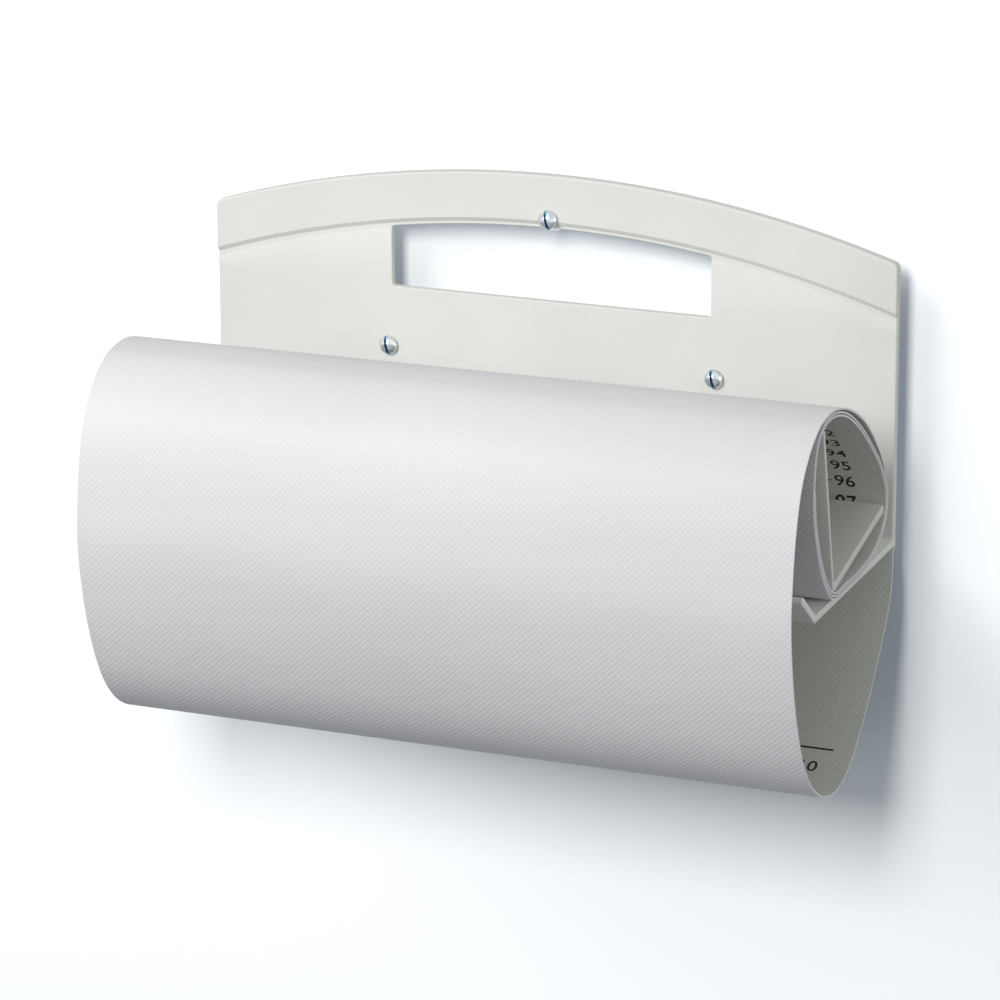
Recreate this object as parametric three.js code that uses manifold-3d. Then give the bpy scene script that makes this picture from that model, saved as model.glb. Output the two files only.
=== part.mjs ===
// Roll-up measuring mat for babies, hung up with its mat rolled in front of the head piece.
// Millimetres, +Z up, +X to the right, the front looks along -Y.
import * as THREE from 'three';
import * as BufferGeometryUtils from 'three/addons/utils/BufferGeometryUtils.js';
import Module from 'manifold-3d';

const wasm = await Module();
wasm.setup();

// Clearances and counts
const fitGap = 0.3;            // between pieces that rest on each other
const overrun = 5;             // how far a cut runs past what it cuts
const archSteps = 22;          // facets along the arched edges
const roundSteps = 3;          // facets across a rounded edge
const circleSteps = 24;        // facets round a screw or a hole

// Mat
const matWidth = 300;
const matThickness = 0.8;
const windingGap = 0.5;        // air between two windings
const tongueSideInset = 1.3;   // its side edges behind the plate, inside its full width
const tongueInset = 0.8;       // its arched edge inside the plate's
const tongueHoleMargin = 2;    // its hand hole is this much larger all round
const tongueOverlap = 11.8;    // how far the rolled length runs up behind the plate
const loopRoom = 26.1;           // how far the big loop stands in front of the roll
const loopDrop = 77.3;         // how far it hangs below the flange
const backLift = 1.2;          // outer winding's extra air on the back slope
const neighbourStretch = 16;   // mat this near along its length isn't measured as a gap
const stepsPerTurn = 60;
const loopSteps = 5;
const turns = 2.86;            // from the top of the roll to the mat's end
const middleTurn = 2.5;        // the turn that lies on the core's outline
const mitreLimitShare = 0.5;   // keeps the corners of the thickened path short

// Head piece: upright plate, flange and lip in one
const plateSideInset = 2;      // its side edges inside the mat's
const plateThickness = 3;
const sideHeight = 117.8;      // plate's height at its side edges
const archRise = 23.5;         // how much the middle stands above the side edges
const plateCornerRadius = 3;
const edgeRadius = 0.9;
const bandHeight = 22.2;       // raised band under the arched edge
const bandProud = 1.1;
const grooveWidth = 3.4;       // shallow groove along the foot of the band
const grooveDepth = 0.35;
const holeWidth = 139;         // hand hole
const holeHeight = 30.9;       // at its middle, under the band
const holeCornerRadius = 1.6;
const flangeDepth = 101.5;
const flangeThickness = 3;
const bendRadius = 1.2;
const lipLength = 22;
const lipAngle = THREE.MathUtils.degToRad(38.5);

// Three binding screws and their sleeve posts
const lowerScrewSpacing = 142.4;
const lowerScrewDrop = 25.3;   // below the hand hole
const topScrewRise = 3.9;      // above the foot of the band
const screwHeadDiameter = 7.8;
const screwHeadRim = 1.1;
const screwHeadDome = 2.3;
const screwShankDiameter = 3;
const slotWidth = 1.2;
const slotDepth = 1.2;
const slotLean = THREE.MathUtils.degToRad(13);
const sleeveDiameter = 5.2;
const postHeadDiameter = 12;
const postHeadThickness = 1.2;
const postHeadChamfer = 0.3;
const sleeveShortfall = 0.6;   // how far the sleeve stops behind the plate's front

// Foot piece: an angle of two legs as wide as the mat, wedged in the roll
const footUpright = 67.5;
const footSoleInset = 34.5;    // its sole is this much shorter than the flange is deep
const footThickness = 3;
const footTilt = THREE.MathUtils.degToRad(12.3);
const footCornerInset = 17;    // its corner, behind the flange's front edge
const footLift = 1.6;          // its corner, above the mat on the flange
const footEndRadius = 1.2;
const footBendRadius = 2.2;
const crownRoom = 2.1;         // roll's top above the upright's end

// Core of the roll, from the top down the back, along the flange and up the front:
// depth as a share of the sole's reach from the foot piece's corner, height of the core's height
const coreShares = [
  [-0.053, 1], [0.191, 0.949], [0.466, 0.814], [0.725, 0.634], [0.924, 0.465], [1.037, 0.289],
  [0.995, 0.149], [0.802, 0.041], [0.527, 0], [0.252, 0], [0.023, 0.009], [-0.137, 0.135],
  [-0.267, 0.331], [-0.353, 0.552], [-0.359, 0.758], [-0.305, 0.92], [-0.209, 0.982],
];
// Big loop from under the plate to the roll's top. Where it hangs: depth as a share of its reach
// and height of its drop. Where it rises: depth as a share of the way from the windings' start to
// its front, and height of the roll's top
const hangingShares = [
  [0.004, -0.02], [0.03, -0.055], [0.062, -0.125], [0.095, -0.229], [0.194, -0.516], [0.335, -0.8],
  [0.438, -0.944], [0.555, -1], [0.672, -0.96], [0.774, -0.854], [0.858, -0.686], [0.927, -0.433],
  [0.974, -0.136],
];
const risingShares = [
  [0.981, 0.124], [0.953, 0.349], [0.875, 0.59], [0.747, 0.775], [0.544, 0.905], [0.337, 0.976],
  [0.165, 0.996],
];
const backLiftShares = [0.02, 0.33];  // stretch of the outer winding's first turn that it lifts

// Worked out from the sizes above
const halfMat = matWidth / 2;
const halfPlate = halfMat - plateSideInset;
const plateWidth = 2 * halfPlate;
const plateHeight = sideHeight + archRise;
const archRadius = (halfPlate ** 2 + archRise ** 2) / (2 * archRise);
const archCentre = plateHeight - archRadius;
const bandRadius = archRadius - bandHeight;
const bandFoot = plateHeight - bandHeight;
const holeSill = bandFoot - holeHeight;
const lowerScrewHeight = holeSill - lowerScrewDrop;
const topScrewHeight = bandFoot + topScrewRise;
const footSole = flangeDepth - footSoleInset;
const footCornerDepth = flangeDepth - footCornerInset;
const pitch = matThickness + windingGap;
const stackBack = plateThickness + fitGap + matThickness;
const wallFace = stackBack + fitGap + postHeadThickness;

const materials = {
  plate: new THREE.MeshStandardMaterial({ color: 0xe2e4df, roughness: 0.5, metalness: 0 }),
  mat: new THREE.MeshStandardMaterial({ color: 0xebebee, roughness: 0.55, metalness: 0 }),
  foot: new THREE.MeshStandardMaterial({ color: 0xe0e2de, roughness: 0.5, metalness: 0 }),
  screw: new THREE.MeshStandardMaterial({ color: 0xc4c8cc, roughness: 0.28, metalness: 1 }),
};

// A closed geometry as a solid that can be joined and cut
function solid(geometry) {
  const bare = geometry.index ? geometry.toNonIndexed() : geometry.clone();
  bare.deleteAttribute('normal');
  bare.deleteAttribute('uv');
  const merged = BufferGeometryUtils.mergeVertices(bare);
  const mesh = new wasm.Mesh({
    numProp: 3,
    vertProperties: new Float32Array(merged.attributes.position.array),
    triVerts: new Uint32Array(merged.index.array),
  });
  return new wasm.Manifold(mesh);
}

// A solid back as a geometry
function surface(body) {
  const mesh = body.getMesh();
  const geometry = new THREE.BufferGeometry();
  geometry.setAttribute('position', new THREE.BufferAttribute(new Float32Array(mesh.vertProperties), 3));
  geometry.setIndex(new THREE.BufferAttribute(new Uint32Array(mesh.triVerts), 1));
  geometry.computeVertexNormals();
  return geometry;
}

// A block between two corners
function block(low, high) {
  const size = high.map((value, i) => value - low[i]);
  const box = new THREE.BoxGeometry(...size);
  box.translate(...high.map((value, i) => (value + low[i]) / 2));
  return solid(box);
}

// An upright outline (x, z) with thickness, from depth front to depth back
function upright(shape, front, back, options = {}) {
  const geometry = new THREE.ExtrudeGeometry(shape, {
    depth: back - front, bevelEnabled: false, curveSegments: archSteps, ...options,
  });
  geometry.rotateX(Math.PI / 2);
  geometry.translate(0, back, 0);
  return geometry;
}

// A profile (depth, height) drawn out along X to a width, centred
function drawnOut(points, width) {
  const shape = new THREE.Shape(points.map(([y, z]) => new THREE.Vector2(y, z)));
  const geometry = new THREE.ExtrudeGeometry(shape, { depth: width, bevelEnabled: false });
  geometry.applyMatrix4(new THREE.Matrix4().makeBasis(
    new THREE.Vector3(0, 1, 0), new THREE.Vector3(0, 0, 1), new THREE.Vector3(1, 0, 0)));
  geometry.translate(-width / 2, 0, 0);
  return geometry;
}

// A turned piece about the Y axis from a profile of [radius, depth], both ends on the axis
function turned(profile) {
  const lathe = new THREE.LatheGeometry(profile.map(([r, y]) => new THREE.Vector2(r, y)), circleSteps);
  return solid(BufferGeometryUtils.mergeVertices(lathe));
}

// Points on an arc, from one angle to another, with both ends
function arc(centre, radius, from, to, steps) {
  return Array.from({ length: steps + 1 }, (_, i) => {
    const angle = from + (to - from) * i / steps;
    return [centre[0] + radius * Math.cos(angle), centre[1] + radius * Math.sin(angle)];
  });
}

// Outline with upright sides and the plate's arched edge, moved in by an inset, from its foot up
function plateOutline(half, archInset, foot) {
  const radius = archRadius - archInset;
  const corner = plateCornerRadius;
  const height = archCentre + Math.sqrt((radius - corner) ** 2 - (half - corner) ** 2);
  const lean = Math.atan2(height - archCentre, half - corner);
  const shape = new THREE.Shape();
  shape.moveTo(-half, foot);
  shape.lineTo(half, foot);
  shape.lineTo(half, height);
  shape.absarc(half - corner, height, corner, 0, lean, false);
  shape.absarc(0, archCentre, radius, lean, Math.PI - lean, false);
  shape.absarc(corner - half, height, corner, Math.PI - lean, Math.PI, false);
  return shape;
}

// Hand hole: straight sill and sides, its top edge along the foot of the band
function holeOutline(margin) {
  const half = holeWidth / 2 + margin;
  const sill = holeSill - margin;
  const radius = bandRadius + margin;
  const corner = holeCornerRadius + margin;
  const height = archCentre + Math.sqrt((radius - corner) ** 2 - (half - corner) ** 2);
  const lean = Math.atan2(height - archCentre, half - corner);
  const path = new THREE.Path();
  path.moveTo(corner - half, sill);
  path.absarc(half - corner, sill + corner, corner, -Math.PI / 2, 0, false);
  path.absarc(half - corner, height, corner, 0, lean, false);
  path.absarc(0, archCentre, radius, lean, Math.PI - lean, false);
  path.absarc(corner - half, height, corner, Math.PI - lean, Math.PI, false);
  path.absarc(corner - half, sill + corner, corner, Math.PI, 1.5 * Math.PI, false);
  return path;
}

// Where the three screws stand, with how far the plate is proud there
const screwPlaces = {
  top: { x: 0, z: topScrewHeight, proud: bandProud },
  left: { x: -lowerScrewSpacing / 2, z: lowerScrewHeight, proud: 0 },
  right: { x: lowerScrewSpacing / 2, z: lowerScrewHeight, proud: 0 },
};

// Holes for the sleeves, between two depths
function sleeveHoles(front, back) {
  const radius = sleeveDiameter / 2 + fitGap;
  return Object.values(screwPlaces).map(({ x, z }) => {
    const drill = new THREE.CylinderGeometry(radius, radius, back - front, circleSteps);
    drill.translate(0, (front + back) / 2, 0);
    drill.translate(x, 0, z);
    return solid(drill);
  });
}

const cutFrom = (body, tools) => tools.reduce((rest, tool) => rest.subtract(tool), body);

// Upright plate with rounded front edges: the field, the raised band and the groove between them
function headPlateSolid() {
  const rounded = {
    bevelEnabled: true, bevelSegments: roundSteps, bevelSize: edgeRadius,
    bevelThickness: edgeRadius, bevelOffset: -edgeRadius,
  };
  const outline = plateOutline(halfPlate, 0, 0);
  outline.holes.push(holeOutline(0));
  // the bevel adds its own thickness at both ends, and the back one is cut off flat
  const field = solid(upright(outline, edgeRadius, plateThickness + edgeRadius, rounded));

  const bandShape = plateOutline(halfPlate, 0, 0);
  const band = solid(upright(bandShape, edgeRadius - bandProud, plateThickness + edgeRadius, rounded));
  const below = new THREE.Shape();
  below.absarc(0, archCentre, bandRadius, 0, Math.PI, false);
  const steps = { curveSegments: 6 * archSteps };
  const lowerBand = solid(upright(below, -bandProud - overrun, plateThickness + overrun, steps));
  const chamfer = edgeRadius;
  const softened = new THREE.Shape();
  softened.absarc(0, archCentre, bandRadius + chamfer, 0, Math.PI, false);
  const bandEdge = solid(upright(softened, -bandProud - overrun, -bandProud, {
    ...steps, bevelEnabled: true, bevelSegments: 1, bevelSize: chamfer, bevelThickness: chamfer,
    bevelOffset: -chamfer,
  }));

  const groove = new THREE.Shape();
  const floor = grooveWidth / 3;
  groove.absarc(0, archCentre, bandRadius - floor, 0, Math.PI, false);
  groove.absarc(0, archCentre, bandRadius - grooveWidth + floor, Math.PI, 0, true);
  const grooveCut = solid(upright(groove, -overrun, 0, {
    ...steps, bevelEnabled: true, bevelSegments: 1, bevelSize: floor, bevelThickness: grooveDepth,
    bevelOffset: 0,
  }));

  const flat = block(
    [-plateWidth, plateThickness, -overrun], [plateWidth, plateThickness + overrun, plateHeight + overrun]);
  const upper = band.subtract(lowerBand).subtract(bandEdge);
  return field.add(upper).subtract(grooveCut).subtract(flat);
}

// Flange and lip as one bent profile, with a round-ended lip and a filled inner bend
function flangeProfile() {
  const out = new THREE.Vector2(-Math.cos(lipAngle), Math.sin(lipAngle));
  const up = new THREE.Vector2(Math.sin(lipAngle), Math.cos(lipAngle));
  const tipRadius = flangeThickness / 2;
  const knee = new THREE.Vector2(-flangeDepth, 0);
  const run = lipLength - tipRadius;
  const tip = knee.clone().addScaledVector(out, run).addScaledVector(up, tipRadius);
  const start = Math.atan2(-up.y, -up.x);
  const tipArc = arc([tip.x, tip.y], tipRadius, start, start - Math.PI, 2 * roundSteps);
  const innerKnee = -flangeDepth + flangeThickness * Math.tan(lipAngle / 2);
  const bend = arc(
    [-bendRadius, flangeThickness + bendRadius], bendRadius, -Math.PI / 2, 0, roundSteps);
  return [
    [plateThickness, 0], [-flangeDepth, 0], ...tipArc, [innerKnee, flangeThickness],
    ...bend, [plateThickness, flangeThickness + bendRadius],
  ].reverse();
}

function makeHeadPlate() {
  const body = headPlateSolid().add(solid(drawnOut(flangeProfile(), plateWidth)));
  const holes = sleeveHoles(-bandProud - overrun, plateThickness + overrun);
  return surface(cutFrom(body, holes));
}

// The roll's windings round the core, as points down the middle of the mat's thickness
const footReach = footSole * Math.cos(footTilt);
const footRise = footUpright * Math.cos(footTilt) + footThickness * Math.sin(footTilt);
const coreHeight = footLift + footRise + crownRoom;

function windings() {
  const guide = coreShares.map(([depth, height]) => new THREE.Vector3(
    0, depth * footReach - footCornerDepth, height * coreHeight));
  const core = new THREE.CatmullRomCurve3(guide, true, 'centripetal');
  const ring = core.getSpacedPoints(stepsPerTurn).slice(0, stepsPerTurn);
  const count = Math.round(turns * stepsPerTurn);
  return Array.from({ length: count + 1 }, (_, i) => {
    const here = ring[i % stepsPerTurn];
    const before = ring[(i + stepsPerTurn - 1) % stepsPerTurn];
    const after = ring[(i + 1) % stepsPerTurn];
    const along = new THREE.Vector2(after.y - before.y, after.z - before.z).normalize();
    const turn = i / stepsPerTurn;
    const [liftStart, liftEnd] = backLiftShares;
    const lifted = THREE.MathUtils.clamp((turn - liftStart) / (liftEnd - liftStart), 0, 1);
    const lift = backLift * Math.sin(Math.PI * lifted) ** 2;
    const offset = matThickness / 2 + (middleTurn - turn) * pitch + lift;
    return [here.y - along.y * offset, here.z + along.x * offset];
  });
}

const loose = windings();
const lowestCentre = Math.min(...loose.map(([, z]) => z));
const coreBase = flangeThickness + fitGap + matThickness / 2 - lowestCentre;
const roll = loose.map(([y, z]) => [y, z + coreBase]);
const rollTop = Math.max(...roll.map(([, z]) => z));
const rollFront = Math.max(...roll.map(([y]) => -y));
const loopReach = rollFront + loopRoom;

// The whole mat below the plate: the crease under the plate, the big loop and the windings
const creaseRadius = fitGap + matThickness / 2;
const crease = arc([plateThickness, 0], creaseRadius, 0, -Math.PI / 2, roundSteps);

function matPath() {
  const hanging = hangingShares.map(([depth, height]) => [-depth * loopReach, height * loopDrop]);
  const rising = risingShares.map(([depth, height]) => [
    roll[0][0] - depth * (loopReach + roll[0][0]), height * rollTop]);
  const guide = [crease.at(-1), ...hanging, ...rising, roll[0], roll[1]];
  const curve = new THREE.CatmullRomCurve3(
    guide.map(([y, z]) => new THREE.Vector3(0, y, z)), false, 'centripetal');
  const spans = guide.length - 1;
  const loop = [];
  for (let span = 0; span < spans - 1; span += 1) {
    for (let step = 0; step < loopSteps; step += 1) {
      const point = curve.getPoint((span + step / loopSteps) / spans);
      loop.push([point.y, point.z]);
    }
  }
  const start = [plateThickness + creaseRadius, tongueOverlap];
  return [start, ...crease.slice(0, -1), ...loop, ...roll];
}

// The path given its thickness: out along one face and back along the other
function thickened(path, thickness) {
  const sides = path.map((here, i) => {
    const before = path[Math.max(i - 1, 0)];
    const after = path[Math.min(i + 1, path.length - 1)];
    const back = new THREE.Vector2(here[0] - before[0], here[1] - before[1]).normalize();
    const on = new THREE.Vector2(after[0] - here[0], after[1] - here[1]).normalize();
    const along = back.add(on).normalize();
    const onward = i < path.length - 1 ? on : along;
    const mitre = thickness / 2 / Math.max(along.dot(onward), mitreLimitShare);
    const push = [-along.y * mitre, along.x * mitre];
    return {
      left: [here[0] + push[0], here[1] + push[1]],
      right: [here[0] - push[0], here[1] - push[1]],
    };
  });
  return [...sides.map((side) => side.left), ...sides.map((side) => side.right).reverse()];
}

// Least air between two stretches of the mat that are not neighbours along its length
function leastGap(path, thickness) {
  const lengths = [0];
  for (let i = 1; i < path.length; i += 1) {
    lengths.push(lengths[i - 1] + Math.hypot(path[i][0] - path[i - 1][0], path[i][1] - path[i - 1][1]));
  }
  let least = Infinity;
  path.forEach((point, i) => {
    const here = new THREE.Vector3(point[0], point[1], 0);
    for (let j = 1; j < path.length; j += 1) {
      const stretch = Math.min(
        Math.abs(lengths[i] - lengths[j]), Math.abs(lengths[i] - lengths[j - 1]));
      if (stretch < neighbourStretch) continue;
      const line = new THREE.Line3(
        new THREE.Vector3(path[j - 1][0], path[j - 1][1], 0),
        new THREE.Vector3(path[j][0], path[j][1], 0));
      const nearest = line.closestPointToPoint(here, true, new THREE.Vector3());
      least = Math.min(least, nearest.distanceTo(here) - thickness);
    }
  });
  return { least, length: lengths.at(-1) };
}

function makeMat() {
  const path = matPath();
  const { least, length } = leastGap(path, matThickness);
  console.log(`mat below the plate ${length.toFixed(1)} mm, least gap to itself ${least.toFixed(2)} mm`);
  const rolled = solid(drawnOut(thickened(path, matThickness), matWidth));
  const sideLine = halfMat - tongueSideInset;
  const trims = [1, -1].map((side) => {
    const xs = [side * sideLine, side * (halfMat + overrun)].sort((a, b) => a - b);
    return block([xs[0], plateThickness, -creaseRadius / 2], [xs[1], plateThickness + overrun, sideHeight]);
  });
  const outline = plateOutline(sideLine, tongueInset, tongueOverlap / 2);
  outline.holes.push(holeOutline(tongueHoleMargin));
  const tongue = solid(upright(outline, plateThickness + fitGap, stackBack));
  const body = cutFrom(rolled, trims).add(tongue);
  return surface(cutFrom(body, sleeveHoles(plateThickness - overrun, stackBack + overrun)));
}

// Foot piece in its own frame: corner at the origin, sole along +Y, upright along +Z
function makeFoot() {
  const end = footEndRadius;
  const inner = footThickness + footBendRadius;
  const profile = [
    ...arc([end, end], end, Math.PI, 1.5 * Math.PI, roundSteps),
    ...arc([footSole - end, end], end, -Math.PI / 2, 0, roundSteps),
    ...arc([footSole - end, footThickness - end], end, 0, Math.PI / 2, roundSteps),
    ...arc([inner, inner], footBendRadius, 1.5 * Math.PI, Math.PI, roundSteps),
    ...arc([footThickness - end, footUpright - end], end, 0, Math.PI / 2, roundSteps),
    ...arc([end, footUpright - end], end, Math.PI / 2, Math.PI, roundSteps),
  ];
  return surface(solid(drawnOut(profile, matWidth)));
}

// Slotted dome screw along Y: the head's seat at the origin, the shank towards +Y
function makeScrew(shank) {
  const rim = screwHeadDiameter / 2;
  const ball = (rim ** 2 + screwHeadDome ** 2) / (2 * screwHeadDome);
  const sweep = Math.asin(rim / ball);
  const dome = arc(
    [0, ball - screwHeadDome - screwHeadRim], ball, -Math.PI / 2, sweep - Math.PI / 2, 2 * roundSteps);
  dome[0][0] = 0;
  const shankRadius = screwShankDiameter / 2;
  const screw = turned([...dome, [rim, 0], [shankRadius, 0], [shankRadius, shank], [0, shank]]);
  const top = -screwHeadRim - screwHeadDome;
  const slot = new THREE.BoxGeometry(slotWidth, overrun, screwHeadDiameter + overrun);
  slot.translate(0, top + slotDepth - overrun / 2, 0);
  slot.rotateY(-slotLean);
  return surface(screw.subtract(solid(slot)));
}

// Sleeve post along Y: its flat head's outer face at the origin, the sleeve towards -Y
function makePost(sleeve) {
  const head = postHeadDiameter / 2;
  const outer = sleeveDiameter / 2;
  const bore = screwShankDiameter / 2 + fitGap;
  const end = -postHeadThickness - sleeve;
  return surface(turned([
    [0, 0], [head - postHeadChamfer, 0], [head, -postHeadChamfer], [head, -postHeadThickness],
    [outer, -postHeadThickness], [outer, end], [bore, end], [bore, -postHeadThickness / 2],
    [0, -postHeadThickness / 2],
  ].reverse()));
}

function node(name, geometry, material) {
  const mesh = new THREE.Mesh(geometry, material);
  mesh.name = name;
  return mesh;
}

const group = new THREE.Group();
group.add(node('head_plate', makeHeadPlate(), materials.plate));
group.add(node('measuring_mat', makeMat(), materials.mat));

const foot = node('foot_piece', makeFoot(), materials.foot);
foot.position.set(0, -footCornerDepth, coreBase + footLift);
foot.rotation.x = footTilt;
group.add(foot);

for (const [place, { x, z, proud }] of Object.entries(screwPlaces)) {
  const seat = -proud - fitGap;
  const sleeve = stackBack + fitGap - sleeveShortfall;
  const shank = stackBack - seat;
  const screw = node(`binding_screw_${place}`, makeScrew(shank), materials.screw);
  screw.position.set(x, seat, z);
  const post = node(`binding_post_${place}`, makePost(sleeve), materials.screw);
  post.position.set(x, wallFace, z);
  group.add(screw, post);
}

// Origin at the middle of the top post's flat face, where the piece lies against a wall
group.position.set(0, -wallFace, -topScrewHeight);
group.updateMatrixWorld(true);

export default group;
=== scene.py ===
import bisect
import math

import bmesh
import bpy
from mathutils import Matrix, Vector


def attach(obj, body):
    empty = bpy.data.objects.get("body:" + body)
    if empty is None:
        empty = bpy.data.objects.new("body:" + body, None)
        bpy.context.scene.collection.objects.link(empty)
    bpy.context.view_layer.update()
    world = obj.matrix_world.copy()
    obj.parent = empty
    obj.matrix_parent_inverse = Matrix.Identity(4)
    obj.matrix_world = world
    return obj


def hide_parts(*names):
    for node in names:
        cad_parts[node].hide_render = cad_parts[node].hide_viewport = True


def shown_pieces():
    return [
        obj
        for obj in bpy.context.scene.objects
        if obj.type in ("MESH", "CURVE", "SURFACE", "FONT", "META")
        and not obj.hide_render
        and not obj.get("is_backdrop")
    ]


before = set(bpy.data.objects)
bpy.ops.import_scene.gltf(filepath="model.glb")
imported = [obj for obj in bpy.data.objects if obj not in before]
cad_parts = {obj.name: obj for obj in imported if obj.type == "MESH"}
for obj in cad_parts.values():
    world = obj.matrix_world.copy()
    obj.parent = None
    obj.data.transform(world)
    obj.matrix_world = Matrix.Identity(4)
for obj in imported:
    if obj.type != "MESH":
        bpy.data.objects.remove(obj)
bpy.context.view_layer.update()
scene = bpy.context.scene

# Sizes are millimetres in the head plate's own frame: its front face lies at y 0 and its lower
# edge at z 0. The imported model's origin is on the top post, so every finished mesh moves there.
mm = 0.001
origin = {"depth": 5.6, "height": 123.0}
touch = 0.01  # lengths that differ by less are one
curveSteps = {  # how many steps a curve is drawn in
    "corner": 6, "holeArch": 240, "tongueArch": 120, "tongueCorner": 8, "notch": 20,
    "tongueHole": 24, "sleeveHole": 48, "lipEnd": 12, "dome": 14, "turned": 64, "digit": 3,
}


def toFrame(x, y, z):
    return Vector((x * mm, (y - origin["depth"]) * mm, (z - origin["height"]) * mm))


# Helpers for shapes

def clamped(value):
    return min(max(value, 0), 1)


def arc(centre, radius, start, end, steps):
    turns = [start + (end - start) * i / steps for i in range(steps + 1)]
    return [(centre[0] + radius * math.cos(turn), centre[1] + radius * math.sin(turn))
            for turn in turns]


def circle(centre, radius, steps):
    return arc(centre, radius, 0, 2 * math.pi, steps)[:-1]


def newObject(name, data):
    obj = bpy.data.objects.new(name, data)
    scene.collection.objects.link(obj)
    return obj


def bakeModifiers(obj):  # the evaluated shape as a plain mesh, under the same name
    depsgraph = bpy.context.evaluated_depsgraph_get()
    mesh = bpy.data.meshes.new_from_object(obj.evaluated_get(depsgraph))
    name = obj.name
    bpy.data.objects.remove(obj)
    mesh.name = name
    return newObject(name, mesh)


def objectFrom(name, bm):
    bmesh.ops.recalc_face_normals(bm, faces=bm.faces)
    mesh = bpy.data.meshes.new(name)
    bm.to_mesh(mesh)
    bm.free()
    return newObject(name, mesh)


def meshOf(obj):  # a bmesh in place of the object
    bm = bmesh.new()
    bm.from_mesh(obj.data)
    bpy.data.objects.remove(obj)
    return bm


def drawnOut(name, outline, ends, axis=0):  # a closed outline as a bar along X or Y
    bm = bmesh.new()
    near, far = [[bm.verts.new(toFrame(*pair[:axis], end, *pair[axis:])) for pair in outline]
                 for end in ends]
    for i in range(len(outline)):
        j = i + 1 - len(outline)
        bm.faces.new((near[i], near[j], far[j], far[i]))
    bm.faces.new(near)
    bm.faces.new(far)
    bmesh.ops.remove_doubles(bm, verts=bm.verts, dist=touch * mm)
    return objectFrom(name, bm)


def boxInto(bm, low, high):  # a plain box between two corners
    middle = [(a + b) / 2 for a, b in zip(low, high)]
    size = [b - a for a, b in zip(low, high)]
    bmesh.ops.create_cube(bm, size=1, matrix=Matrix.LocRotScale(middle, None, size))


def combined(obj, others):  # joins or cuts other closed shapes, which are used up
    for other, operation in others:
        step = obj.modifiers.new(operation.lower(), "BOOLEAN")
        step.operation = operation
        step.solver = "EXACT"
        step.object = other
    obj = bakeModifiers(obj)
    for other, _ in others:
        bpy.data.objects.remove(other)
    return obj


def addBevel(obj, width, segments, degrees):
    bevel = obj.modifiers.new("roundedEdges", "BEVEL")
    bevel.width = width * mm
    bevel.segments = segments
    bevel.limit_method = "ANGLE"
    bevel.angle_limit = math.radians(degrees)


def smoothByAngle(obj, degrees):
    obj.data.shade_smooth()
    obj.data.set_sharp_from_angle(angle=math.radians(degrees))


def setMaterials(obj, *names):
    obj.data.materials.clear()
    for name in names:
        obj.data.materials.append(materials[name])


# Helpers for nodes

def newGroup(name, inputs, outputs, treeType="ShaderNodeTree"):  # a default may follow a kind
    group = bpy.data.node_groups.new(name, treeType)
    for label, kind, *value in inputs:
        socket = group.interface.new_socket(label, in_out="INPUT", socket_type="NodeSocket" + kind)
        if value:
            socket.default_value = value[0]
    for label, kind in outputs:
        group.interface.new_socket(label, in_out="OUTPUT", socket_type="NodeSocket" + kind)
    given = group.nodes.new("NodeGroupInput").outputs
    return group, given, group.nodes.new("NodeGroupOutput").inputs


def linked(tree, kind, inputs=(), **settings):  # adds a node, set up and joined to its inputs
    node = tree.nodes.new(kind)
    for label, value in settings.items():
        setattr(node, label, value)
    for label, value in dict(inputs).items():
        if hasattr(value, "is_output"):
            tree.links.new(value, node.inputs[label])
        else:
            node.inputs[label].default_value = value
    return node.outputs


def mathNode(tree, operation, *values):
    return linked(tree, "ShaderNodeMath", enumerate(values), operation=operation)[0]


def spread(tree, source, ends, values):  # carries one range of values over to another
    return linked(tree, "ShaderNodeMapRange", {
        "Value": source, "From Min": ends[0], "From Max": ends[1],
        "To Min": values[0], "To Max": values[1]})["Result"]


def colourMix(tree, factor, first, second):
    return linked(tree, "ShaderNodeMix", {"Factor": factor, "A": first, "B": second},
                  data_type="RGBA")["Result"]


def mouldedGrain():  # fine moulded grain with slow cloudiness, from a place in metres
    group, given, result = newGroup(
        "mouldedGrain",
        [("Position", "Vector"), ("Grain Size", "Float", 0.0006),
         ("Cloud Size", "Float", 0.06)],
        [("Height", "Float"), ("Cloud", "Float")])
    for size, made, detail, roughness in (("Grain Size", "Height", 3, 0.6),
                                          ("Cloud Size", "Cloud", 2, 0.5)):
        noise = linked(group, "ShaderNodeTexNoise", {
            "Vector": given["Position"], "Scale": mathNode(group, "DIVIDE", 1.0, given[size]),
            "Detail": detail, "Roughness": roughness})
        group.links.new(noise["Fac"], result[made])
    return group


def embossLattice():  # raised dots from a UV map in metres
    group, given, result = newGroup(
        "embossLattice",
        [("Place", "Vector"), ("Pitch Across", "Float", 0.0018),
         ("Pitch Along", "Float", 0.0018)],
        [("Height", "Float")])
    parts = linked(group, "ShaderNodeSeparateXYZ", {0: given["Place"]})
    waves = []
    for axis, pitch in (("X", "Pitch Across"), ("Y", "Pitch Along")):
        turns = mathNode(group, "DIVIDE", parts[axis], given[pitch])
        waves.append(mathNode(group, "COSINE", mathNode(group, "MULTIPLY", turns, 2 * math.pi)))
    dots = mathNode(group, "MULTIPLY", *waves)  # its peaks stand in staggered rows
    lifted = mathNode(group, "MULTIPLY_ADD", dots, 0.5, 0.5)
    group.links.new(mathNode(group, "POWER", lifted, 1.6), result["Height"])
    return group


grainGroup = mouldedGrain()
embossGroup = embossLattice()


def newMaterial(name):
    material = bpy.data.materials.new(name)
    material.use_nodes = True
    tree = material.node_tree
    return material, tree, tree.nodes["Principled BSDF"].inputs


def linear(colour):  # from a colour as it shows on screen
    def one(value):
        value /= 255
        return value / 12.92 if value <= 0.04045 else ((value + 0.055) / 1.055) ** 2.4
    return (*[one(value) for value in colour], 1.0)


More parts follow.
